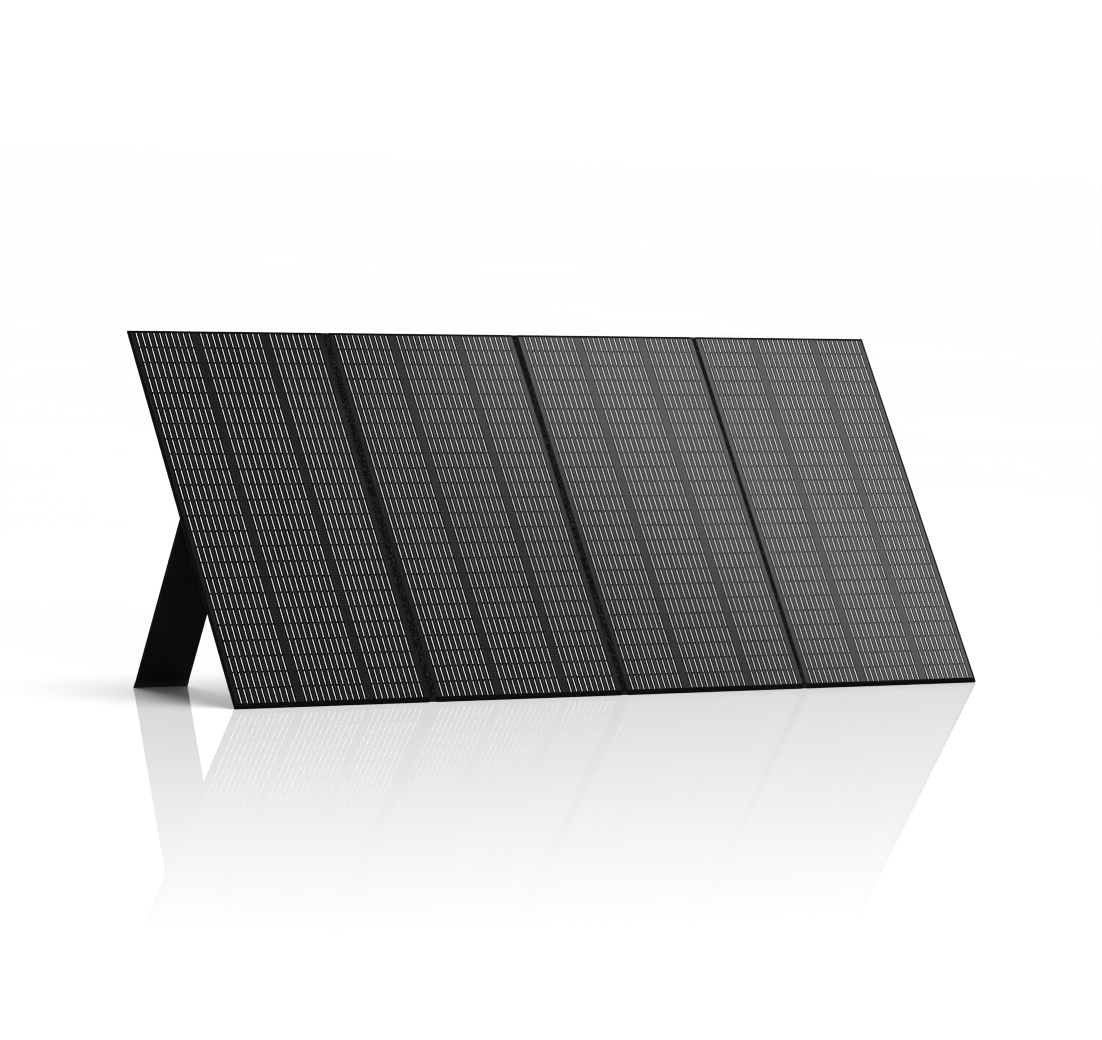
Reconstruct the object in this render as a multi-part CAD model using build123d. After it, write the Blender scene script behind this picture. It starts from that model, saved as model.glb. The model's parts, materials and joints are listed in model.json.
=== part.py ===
from build123d import *

import os
from math import cos, radians, sin

# A four-leaf folding solar panel, standing on its long bottom edge and leaning back on four kickstand legs.
# Every piece is drawn in the flat panel's own frame: X along the panel, Y up its slope, Z out of its front face,
# with the front face at Z = 0. stand() then leans the panel back and puts it on the floor.
# In the row frame the panel faces -Y, +Z is up, and the origin is the bottom centre of the whole object's box.

# ---- Cells (mm) -------------------------------------------------------------------------------------------
busbar_pitch = 17.5
busbar_places = 32
column_gap_places = (10, 22)
row_pitch = 42.15
row_count = 24
cell_side_margin = 10.5
busbar_side_margin = 19.25
column_gap = 2.0
row_gap = 0.5

# ---- Leaves -----------------------------------------------------------------------------------------------
strip_widths = (24.0, 21.0, 14.0)
end_binding = 3.0
top_binding = 3.0
bottom_binding = 9.0
top_cell_margin = 4.2
bottom_cell_margin = 10.2
leaf_thickness = 5.5
film_thickness = 0.5
cell_thickness = 0.3
rear_cover_thickness = 0.9
strip_front = -2.0
strip_thickness = 1.6
strip_gap = 0.4

# ---- Stance -----------------------------------------------------------------------------------------------
lean_angle = 58.6
leg_open_angle = 52.8
leg_pivot_height = 526.6

# ---- Legs -------------------------------------------------------------------------------------------------
leg_width = 160.0
leg_inset = 10.0
leg_thickness = 3.0
leg_board_thickness = 1.8
leg_board_margin = 4.0
leg_gap = 1.0
foot_length = 14.0
foot_rear_lip = 0.4
tab_height = 30.0
tab_thickness = 1.2
tab_side_margin = 10.0
tab_clearance = 1.0
strap_reach = 150.0
strap_width = 25.0
strap_thickness = 1.2
strap_end_gap = 1.2

# ---- Folding ----------------------------------------------------------------------------------------------
fold_clearance = 0.5
inner_face_gap = 1.6

# ---- Junction box on the back of leaf 2 -------------------------------------------------------------------
box_width = 120.0
box_height = 72.0
box_base_depth = 14.0
box_wall = 2.5
box_corner = 6.0
box_right_margin = 50.0
box_bottom = 880.0
lid_thickness = 3.0
gasket_thickness = 1.2
gasket_width = 3.0
boss_radius = 4.0
boss_inset = 7.5
screw_radius = 1.5
screw_head_radius = 2.8
screw_head_height = 1.6
screw_length = 9.0
terminal_size = (84.0, 22.0, 5.0)
diode_count = 3
diode_radius = 2.6
diode_length = 14.0
diode_pitch = 26.0
gland_bore_radius = 3.5
gland_nut_radius = 8.0
gland_thread_radius = 5.5
gland_nut_length = 9.0
gland_dome_length = 8.0
gland_depth = 7.0

# ---- Cable pouch on the back of leaf 1 --------------------------------------------------------------------
pouch_width = 260.0
pouch_height = 190.0
pouch_depth = 16.0
pouch_corner = 14.0
pouch_left = 290.0
pouch_bottom = 580.0
zip_drop = 30.0
zip_travel = 200.0
slider_length = 14.0
slider_width = 9.0
slider_height = 4.0
slider_gap = 0.4
pull_length = 26.0
pull_thickness = 1.4

# ---- Carry handles on the backs of leaves 1 and 2 ---------------------------------------------------------
handle_height = 985.0
handle_pin_offset = 7.0
handle_pin_radius = 2.0
handle_eye_clearance = 0.1
handle_eye_radius = 4.5
handle_spacing = 130.0
handle_strap_width = 24.0
handle_strap_thickness = 3.0
handle_drop = 72.0
handle_corner = 20.0
anchor_width = 32.0
anchor_height = 36.0
anchor_plate = 1.5
ear_thickness = 3.0
ear_gap = 0.5

# ---- Derived ----------------------------------------------------------------------------------------------
leaf_count = 4
leaf_width = (busbar_places - 1) * busbar_pitch + 2 * busbar_side_margin
panel_width = 2 * end_binding + leaf_count * leaf_width + sum(strip_widths)
panel_height = bottom_cell_margin + row_count * row_pitch + top_cell_margin
leaf_lefts = [end_binding + i * leaf_width + sum(strip_widths[:i]) for i in range(leaf_count)]
back = -leaf_thickness
lean = radians(lean_angle)
leg_pivot = (leg_pivot_height, back - leg_gap - leg_thickness / 2)
handle_pivot = (handle_height, back - handle_pin_offset)
floor_lift = leaf_thickness * cos(lean)
depth_shift = (panel_height * cos(lean) + leaf_thickness * sin(lean)) / 2
stack_step = leaf_thickness + leg_gap + leg_thickness + foot_rear_lip + fold_clearance
face_gaps = [inner_face_gap + (leaf_count - 2 - i) * stack_step for i in range(leaf_count - 1)]
box_left = leaf_lefts[1] + leaf_width - box_right_margin - box_width
pouch_back = back - pouch_depth
zip_height = pouch_bottom + pouch_height - zip_drop


def block(x, y, z):
    """A box between the low and high value given for each axis."""
    size = [b - a for a, b in (x, y, z)]
    return Pos(x[0], y[0], z[0]) * Box(*size, align=(Align.MIN,) * 3)


def rod_x(x, y, z, radius):
    """A cylinder along X, between the two x values."""
    return Pos(x[0], y, z) * Rot(0, 90, 0) * Cylinder(radius, x[1] - x[0], align=(Align.CENTER, Align.CENTER, Align.MIN))


def profile_x(points, x):
    """A (y, z) outline extruded along X, between the two x values."""
    return extrude(Plane.YZ.offset(x[0]) * make_face(Polyline(*points, close=True)), amount=x[1] - x[0])


def plate_z(x, y, z, corner):
    """A plate with rounded corners, between the low and high values."""
    outline = RectangleRounded(x[1] - x[0], y[1] - y[0], corner)
    return Pos((x[0] + x[1]) / 2, (y[0] + y[1]) / 2, z[0]) * extrude(outline, amount=z[1] - z[0])


def turn(shape, pivot, angle):
    """Turns a piece about the X line through a (y, z) pivot: positive swings what hangs down the slope backwards."""
    return Pos(0, *pivot) * Rot(angle, 0, 0) * Pos(0, -pivot[0], -pivot[1]) * shape


def stand(shape):
    """Leans the flat panel back onto the floor, with the whole object's box centred."""
    return Pos(-panel_width / 2, -depth_shift, floor_lift) * Rot(lean_angle, 0, 0) * shape


def stand_point(x, y, z):
    """The row-frame place of a point of the flat panel."""
    return (
        x - panel_width / 2,
        y * cos(lean) - z * sin(lean) - depth_shift,
        y * sin(lean) + z * cos(lean) + floor_lift,
    )


def save(name, shapes):
    """Writes one node, of one solid or a group of solids, standing on the floor."""
    solids = [stand(s) for s in (shapes if isinstance(shapes, list) else [shapes])]
    node = Compound(label=name, children=solids) if len(solids) > 1 else solids[0]
    export_step(node, f"parts/{name}.step")


def laminate(leaf, z):
    """One full layer of a leaf, inside its edge binding."""
    left = leaf_lefts[leaf]
    return block((left, left + leaf_width), (bottom_binding, panel_height - top_binding), z)


def cell_strips(leaf):
    """Solar cell strips, in three columns that end at the empty busbar places."""
    left = leaf_lefts[leaf]
    gaps = [left + busbar_side_margin + place * busbar_pitch for place in column_gap_places]
    starts = [left + cell_side_margin] + [g + column_gap / 2 for g in gaps]
    ends = [g - column_gap / 2 for g in gaps] + [left + leaf_width - cell_side_margin]
    z = (-film_thickness - cell_thickness, -film_thickness)
    strips = []
    for x in zip(starts, ends):
        for row in range(row_count):
            low = bottom_cell_margin + row * row_pitch
            strips.append(block(x, (low + row_gap / 2, low + row_pitch - row_gap / 2), z))
    return strips


def edge_binding(leaf):
    """Fabric binding: bars along the bottom and top, and along the panel's outer ends."""
    left = leaf_lefts[leaf] - (end_binding if leaf == 0 else 0)
    right = leaf_lefts[leaf] + leaf_width + (end_binding if leaf == leaf_count - 1 else 0)
    z = (back, 0)
    bars = [
        block((left, right), (0, bottom_binding), z),
        block((left, right), (panel_height - top_binding, panel_height), z),
    ]
    side = (bottom_binding, panel_height - top_binding)
    if leaf == 0:
        bars.append(block((left, left + end_binding), side, z))
    if leaf == leaf_count - 1:
        bars.append(block((right - end_binding, right), side, z))
    return bars


def make_leaf(leaf):
    """The laminate of one leaf, from its clear front film to its woven rear cover."""
    name = f"leaf_{leaf + 1}"
    board_front = -film_thickness - cell_thickness
    board_back = back + rear_cover_thickness
    save(f"{name}_front_film", laminate(leaf, (-film_thickness, 0)))
    save(f"{name}_cell_strips", cell_strips(leaf))
    save(f"{name}_backing_board", laminate(leaf, (board_back, board_front)))
    save(f"{name}_rear_cover", laminate(leaf, (back, board_back)))
    save(f"{name}_edge_binding", edge_binding(leaf))


def make_hinge_strip(hinge):
    """The fabric between two leaves, as one half on each leaf."""
    left = leaf_lefts[hinge] + leaf_width
    middle = left + strip_widths[hinge] / 2
    right = left + strip_widths[hinge]
    y = (0, panel_height)
    z = (strip_front - strip_thickness, strip_front)
    save(f"hinge_strip_{hinge + 1}_left", block((left, middle - strip_gap / 2), y, z))
    save(f"hinge_strip_{hinge + 1}_right", block((middle + strip_gap / 2, right), y, z))


def leg_span(leaf):
    """Left and right side of a leg: near the left of leaves 1 and 2, and the right of leaves 3 and 4."""
    if leaf < leaf_count / 2:
        left = leaf_lefts[leaf] - end_binding + leg_inset
    else:
        left = leaf_lefts[leaf] + leaf_width + end_binding - leg_inset - leg_width
    return (left, left + leg_width)


def sole_reach(offset):
    """How far from the pivot the leg's sole is, on the line that lies offset towards the leaf."""
    pivot_rise = stand_point(0, *leg_pivot)[2]
    steep = radians(lean_angle + leg_open_angle)
    return (pivot_rise + offset * cos(steep)) / sin(steep)


def foot_outline():
    """The foot's section with the leg closed: a block with a lip behind, cut flat where it meets the floor."""
    y, z = leg_pivot
    front = leg_thickness / 2
    rear = -leg_thickness / 2 - foot_rear_lip
    top = y - sole_reach(0) + foot_length
    return [
        (top, z + front),
        (top, z - leg_thickness / 2),
        (top - foot_rear_lip, z + rear),
        (y - sole_reach(rear), z + rear),
        (y - sole_reach(front), z + front),
    ]


def make_leg(leaf):
    """A kickstand leg: a board in a sewn cover with a rubber foot, its hinge tab and its limit strap."""
    name = f"leg_{leaf + 1}"
    x = leg_span(leaf)
    y, z = leg_pivot
    half = leg_thickness / 2
    foot_top = y - sole_reach(0) + foot_length
    board = block(
        (x[0] + leg_board_margin, x[1] - leg_board_margin),
        (foot_top, y - leg_board_margin),
        (z - leg_board_thickness / 2, z + leg_board_thickness / 2),
    )
    cover = block(x, (foot_top, y), (z - half, z + half)) + rod_x(x, y, z, half) - board
    save(f"{name}_board", turn(board, leg_pivot, leg_open_angle))
    save(f"{name}_cover", turn(cover, leg_pivot, leg_open_angle))
    save(f"{name}_foot", turn(profile_x(foot_outline(), x), leg_pivot, leg_open_angle))
    tab_low = y + half + tab_clearance
    tab_x = (x[0] + tab_side_margin, x[1] - tab_side_margin)
    save(f"{name}_hinge_tab", block(tab_x, (tab_low, tab_low + tab_height), (back - tab_thickness, back)))
    save(f"{name}_limit_strap", limit_strap(sum(x) / 2))


def limit_strap(x_middle):
    """The taut strap that stops a leg: it runs from the leaf's back to the face of the open leg."""
    opening = radians(leg_open_angle)
    y, z = leg_pivot
    leaf_end = Vector(0, y - strap_reach, back)
    on_leg = (y - strap_reach, z + leg_thickness / 2)
    dy, dz = on_leg[0] - y, on_leg[1] - z
    leg_end = Vector(0, y + dy * cos(opening) - dz * sin(opening), z + dy * sin(opening) + dz * cos(opening))
    along = (leg_end - leaf_end).normalized()
    length = (leg_end - leaf_end).length - 2 * strap_end_gap
    start = leaf_end + along * strap_end_gap + Vector(x_middle, 0, 0)
    strap = Box(strap_width, length, strap_thickness, align=(Align.CENTER, Align.MIN, Align.CENTER))
    return Plane(origin=start, x_dir=(1, 0, 0), z_dir=Vector(1, 0, 0).cross(along)) * strap


def box_bosses():
    """Centres of the junction box's four screw bosses."""
    xs = (box_left + boss_inset, box_left + box_width - boss_inset)
    ys = (box_bottom + boss_inset, box_bottom + box_height - boss_inset)
    return [(x, y) for x in xs for y in ys]


def post(x, y, z, radius):
    """A cylinder along Z, between the two z values."""
    return Pos(x, y, z[0]) * Cylinder(radius, z[1] - z[0], align=(Align.CENTER, Align.CENTER, Align.MIN))


def make_junction_box():
    """The box that the leaves' wires meet in: base, gasket, lid, screws, terminals with diodes, and a gland."""
    x = (box_left, box_left + box_width)
    y = (box_bottom, box_bottom + box_height)
    rim = back - box_base_depth
    floor = back - box_wall
    inner_x = (x[0] + box_wall, x[1] - box_wall)
    inner_y = (y[0] + box_wall, y[1] - box_wall)
    inner = plate_z(inner_x, inner_y, (rim, floor), box_corner - box_wall)
    base = plate_z(x, y, (rim, back), box_corner) - inner
    lid_inside = rim - gasket_thickness
    lid_outside = lid_inside - lid_thickness
    gasket = plate_z(x, y, (lid_inside, rim), box_corner)
    gasket_x = (x[0] + gasket_width, x[1] - gasket_width)
    gasket_y = (y[0] + gasket_width, y[1] - gasket_width)
    gasket -= plate_z(gasket_x, gasket_y, (lid_inside, rim), box_corner - gasket_width)
    lid = plate_z(x, y, (lid_outside, lid_inside), box_corner)
    lid = fillet(lid.faces().sort_by(Axis.Z)[0].edges(), radius=1.2)
    screws = []
    screw_tip = lid_outside + screw_length
    for cx, cy in box_bosses():
        base += post(cx, cy, (rim, floor), boss_radius)
        base -= post(cx, cy, (rim, screw_tip), screw_radius)
        gasket -= post(cx, cy, (lid_inside, rim), boss_radius)
        lid -= post(cx, cy, (lid_outside, lid_inside), screw_radius)
        head = post(cx, cy, (lid_outside - screw_head_height, lid_outside), screw_head_radius)
        screws.append(head + post(cx, cy, (lid_outside, screw_tip), screw_radius))
    gland_x = (x[0] + x[1]) / 2
    gland_z = back - gland_depth
    bore = Pos(gland_x, y[0] + box_wall, gland_z) * Rot(90, 0, 0)
    wall_hole = Cylinder(gland_thread_radius, box_wall, align=(Align.CENTER, Align.CENTER, Align.MIN))
    base -= bore * wall_hole
    save("junction_box_base", base)
    save("junction_box_gasket", gasket)
    save("junction_box_lid", lid)
    save("junction_box_screws", screws)
    save("junction_box_terminals", terminals(x, y, floor))
    save("cable_gland", cable_gland(gland_x, y[0], gland_z))


def terminals(x, y, floor):
    """The terminal block, with a row of bypass diodes lying on it."""
    length, width, height = terminal_size
    cx = sum(x) / 2
    cy = sum(y) / 2 + box_wall
    block_x = (cx - length / 2, cx + length / 2)
    block_y = (cy - width / 2, cy + width / 2)
    pieces = [block(block_x, block_y, (floor - height, floor))]
    for i in range(diode_count):
        middle = cx + (i - (diode_count - 1) / 2) * diode_pitch
        ends = (middle - diode_length / 2, middle + diode_length / 2)
        pieces.append(rod_x(ends, cy, floor - height - diode_radius, diode_radius))
    return pieces


def cable_gland(x, y, z):
    """A gland in the box's lower wall: a threaded neck, a hexagonal nut and a domed cap, bored through."""
    low = (Align.CENTER, Align.CENTER, Align.MIN)
    neck = Pos(0, 0, -box_wall) * Cylinder(gland_thread_radius, box_wall, align=low)
    nut = extrude(RegularPolygon(gland_nut_radius, 6), amount=gland_nut_length)
    dome = Pos(0, 0, gland_nut_length) * Cone(gland_nut_radius - 1.2, gland_bore_radius + 1.5, gland_dome_length, align=low)
    length = gland_nut_length + gland_dome_length
    hole = Pos(0, 0, -box_wall) * Cylinder(gland_bore_radius, length + box_wall, align=low)
    return Pos(x, y, z) * Rot(90, 0, 0) * (neck + nut + dome - hole)


def make_pouch():
    """A zipped cable pouch, and the slider that runs along its zip."""
    x = (pouch_left, pouch_left + pouch_width)
    y = (pouch_bottom, pouch_bottom + pouch_height)
    pouch = plate_z(x, y, (pouch_back, back), pouch_corner)
    pouch = fillet(pouch.faces().sort_by(Axis.Z)[0].edges(), radius=pouch_depth / 3)
    save("cable_pouch", pouch)
    start = pouch_left + (pouch_width - zip_travel) / 2
    top = pouch_back - slider_gap
    half = slider_width / 2
    body = plate_z((start, start + slider_length), (zip_height - half, zip_height + half), (top - slider_height, top), 3)
    pull_half = half / 2
    pull_z = (top - slider_height, top - slider_height + pull_thickness)
    pull_x = (start + slider_length / 2, start + slider_length / 2 + pull_length)
    save("zip_slider", body + plate_z(pull_x, (zip_height - pull_half, zip_height + pull_half), pull_z, pull_half * 0.9))


def handle_ends(leaf):
    """The x centres of a handle's two anchors."""
    middle = leaf_lefts[leaf] + leaf_width / 2
    return (middle - handle_spacing / 2, middle + handle_spacing / 2)


def make_handle(leaf):
    """A carry handle: a webbing loop whose two eyes turn on the pins of two sewn-on anchors."""
    name = f"handle_{leaf + 1}"
    y, z = handle_pivot
    anchors = []
    pin_end = anchor_width / 2
    ear_inner = pin_end - ear_thickness
    for cx in handle_ends(leaf):
        plate_y = (y - anchor_height / 2, y + anchor_height / 2)
        anchor = block((cx - pin_end, cx + pin_end), plate_y, (back - anchor_plate, back))
        for ear_x in ((cx - pin_end, cx - ear_inner), (cx + ear_inner, cx + pin_end)):
            ear = block(ear_x, (y - handle_eye_radius, y + handle_eye_radius), (z, back - anchor_plate))
            anchor += ear + rod_x(ear_x, y, z, handle_eye_radius)
        anchors.append(anchor + rod_x((cx - pin_end, cx + pin_end), y, z, handle_pin_radius))
    save(f"{name}_anchors", anchors)
    save(f"{name}_strap", turn(handle_strap(leaf, ear_inner - ear_gap), handle_pivot, 90 - lean_angle))


def handle_strap(leaf, eye_half):
    """The handle's loop, drawn hanging down the slope from its pins."""
    y, z = handle_pivot
    left, right = handle_ends(leaf)
    half = handle_strap_thickness / 2
    outer_x = (left - handle_strap_width / 2, right + handle_strap_width / 2)
    inner_x = (left + handle_strap_width / 2, right - handle_strap_width / 2)
    grip_low = y - handle_drop
    loop = plate_z(outer_x, (grip_low, y + handle_corner), (z - half, z + half), handle_corner)
    loop -= plate_z(inner_x, (grip_low + handle_strap_width, y + handle_corner), (z - half, z + half), handle_corner / 2)
    loop -= block(outer_x, (y, y + handle_corner), (z - half, z + half))
    for cx in (left, right):
        loop += rod_x((cx - eye_half, cx + eye_half), y, z, handle_eye_radius)
    for cx in (left, right):
        loop -= rod_x((cx - eye_half, cx + eye_half), y, z, handle_pin_radius + handle_eye_clearance)
    return loop


def print_joints():
    """Prints, in the row frame, the places that joints and mounts are stated at."""
    for i in range(leaf_count - 1):
        middle = leaf_lefts[i] + leaf_width + strip_widths[i] / 2
        print("fold", i + 1, stand_point(middle, panel_height / 2, face_gaps[i] / 2))
    for i in range(leaf_count):
        x = sum(leg_span(i)) / 2
        pivot = stand_point(x, *leg_pivot)
        sole = (x - panel_width / 2, pivot[1] - sole_reach(0) * cos(radians(lean_angle + leg_open_angle)), 0)
        print("leg", i + 1, "pivot", pivot, "sole", sole)
    for i in range(2):
        print("handle", i + 1, stand_point(sum(handle_ends(i)) / 2, *handle_pivot))
    gland_y = box_bottom - gland_nut_length - gland_dome_length / 2
    print("gland", stand_point(box_left + box_width / 2, gland_y, back - gland_depth))


os.makedirs("parts", exist_ok=True)
for number in range(leaf_count):
    make_leaf(number)
    make_leg(number)
for number in range(leaf_count - 1):
    make_hinge_strip(number)
for number in range(2):
    make_handle(number)
make_junction_box()
make_pouch()
print_joints()
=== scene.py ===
"""The looks of a four-leaf folding solar panel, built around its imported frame."""

import json
import random
from math import atan2, cos, pi, radians, sin, sqrt

import bpy
from mathutils import Matrix, Vector, geometry, noise


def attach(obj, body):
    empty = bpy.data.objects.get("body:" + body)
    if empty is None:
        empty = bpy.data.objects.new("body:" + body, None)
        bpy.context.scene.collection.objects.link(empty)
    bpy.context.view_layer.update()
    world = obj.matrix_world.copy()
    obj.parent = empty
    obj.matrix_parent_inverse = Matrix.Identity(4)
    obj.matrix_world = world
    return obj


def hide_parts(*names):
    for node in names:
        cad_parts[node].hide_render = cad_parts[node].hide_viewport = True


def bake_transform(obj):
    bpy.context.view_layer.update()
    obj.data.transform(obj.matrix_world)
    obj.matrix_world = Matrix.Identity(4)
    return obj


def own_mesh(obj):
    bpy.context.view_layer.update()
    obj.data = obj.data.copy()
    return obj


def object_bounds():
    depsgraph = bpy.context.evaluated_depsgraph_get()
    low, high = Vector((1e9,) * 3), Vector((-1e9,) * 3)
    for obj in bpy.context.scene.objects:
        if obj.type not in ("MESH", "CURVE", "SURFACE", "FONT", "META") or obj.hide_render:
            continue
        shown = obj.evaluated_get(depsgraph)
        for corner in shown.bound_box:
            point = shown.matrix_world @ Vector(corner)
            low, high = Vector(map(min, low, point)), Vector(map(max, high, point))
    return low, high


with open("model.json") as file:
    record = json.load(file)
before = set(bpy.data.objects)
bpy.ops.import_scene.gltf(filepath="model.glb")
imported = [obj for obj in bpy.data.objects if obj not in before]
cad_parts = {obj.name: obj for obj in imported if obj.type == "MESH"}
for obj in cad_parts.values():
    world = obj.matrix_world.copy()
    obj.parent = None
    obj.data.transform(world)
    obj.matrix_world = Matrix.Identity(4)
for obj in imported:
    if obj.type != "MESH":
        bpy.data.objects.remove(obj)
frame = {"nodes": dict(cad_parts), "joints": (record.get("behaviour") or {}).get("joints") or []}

CAD_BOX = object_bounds()
MM = 0.001
LEAVES = (1, 2, 3, 4)
HINGES = (1, 2, 3)
HANDLES = (1, 2)

# ---- The flat panel's own directions: x along it, u up its slope, n out of its face ----
JOINTS = {joint["name"]: joint for joint in frame["joints"]}
SIDE = Vector((1, 0, 0))
UP = -Vector(JOINTS["fold_1"]["axis"]).normalized()
OUT = SIDE.cross(UP)
LEAN = Matrix((SIDE, UP, OUT)).transposed().to_4x4()
PLUMB_TURN = atan2(UP.y, UP.z)

# ---- Driving dimensions and settings ----
BUSBAR_PITCH = 17.5 * MM
BUSBAR_WIDTH = 2.4 * MM
BUSBAR_HEIGHT = 0.12 * MM
DASH_GAP = 4.8 * MM
DARK_HALF = 5.5 * MM
ANCHOR_PLATE = 1.5 * MM
FILM_CHAMFER = 0.15 * MM
CELL_CHAMFER = 0.1 * MM
BUSBAR_CHAMFER = 0.05 * MM
CELL_RISE = 0.12 * MM
CELL_SINK = 0.2 * MM
TAPE_PROUD = 0.35 * MM
TAPE_ROUND = 1.3 * MM
TAPE_LAP = 2.6 * MM
TAPE_LAP_ROUND = 0.3 * MM
TAPE_WOBBLE = 0.12 * MM
TAPE_SEAM = 1.6 * MM
HINGE_SEWN_SHARE = 0.16
LEG_TAB_THICKNESS = 0.7 * MM
PATCH_LENGTH = 26 * MM
PATCH_THICKNESS = 0.3 * MM
HANDLE_WIDTH = 24 * MM
FINGER_PITCH = 42.15 / 24 * MM
RIPSTOP_PITCH = 5.1 * MM
FACE_ROUGHNESS = 0.30
CELL_GLOSS = 0.02
PLAIN_GLOSS = 0.80
BAND_GLOSS = 0.46
SUN_STRENGTH = 3.08
SUN_FROM = (0.26, 0.15, 0.955)
SUN_SPREAD = 44
CAMERA_LENS = 190.0
CAMERA_PLACE = (-9.1585, -11.7056, 1.5885)
CAMERA_TURN = (85.497, -2.742, -37.669)
FLOOR_GLOW = 0.02
MIRROR_SHARE = 0.338
MIRROR_REACH = 4.5
STITCH_PITCH = 4.6 * MM
STITCH_LENGTH = 3.1 * MM
STITCH_WIDTH = 0.62 * MM
STITCH_HEIGHT = 0.34 * MM


def turned(joint, angle):
    """The place of a piece drawn flat on the panel, turned about a joint's pivot."""
    pivot = Vector(JOINTS[joint]["pos_m"])
    return Matrix.Translation(pivot) @ Matrix.Rotation(angle, 4, "X") @ Matrix.Translation(-pivot) @ LEAN


LEG_OPENING = radians(JOINTS["leg_1_swing"]["range_deg"][1])
LEG_PLACES = {i: turned(f"leg_{i}_swing", LEG_OPENING) for i in LEAVES}
HANDLE_PLACES = {i: turned(f"handle_{i}_swing", PLUMB_TURN) for i in HANDLES}


def flat(point, place=LEAN):
    """A row-frame point in flat panel directions."""
    return place.inverted() @ Vector(point)


def span(node, place=LEAN):
    """The (low, high) pairs of a CAD node along x, u and n."""
    back = place.inverted()
    points = [back @ v.co for v in frame["nodes"][node].data.vertices]
    return [(min(p[i] for p in points), max(p[i] for p in points)) for i in range(3)]


def steps(node, axis):
    """A CAD node's distinct places along one direction, to a hundredth of a millimetre."""
    back = LEAN.inverted()
    return sorted({round((back @ v.co)[axis], 5) for v in frame["nodes"][node].data.vertices})


def pairs(values):
    """Neighbouring values, two by two."""
    return list(zip(values[::2], values[1::2]))


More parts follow.
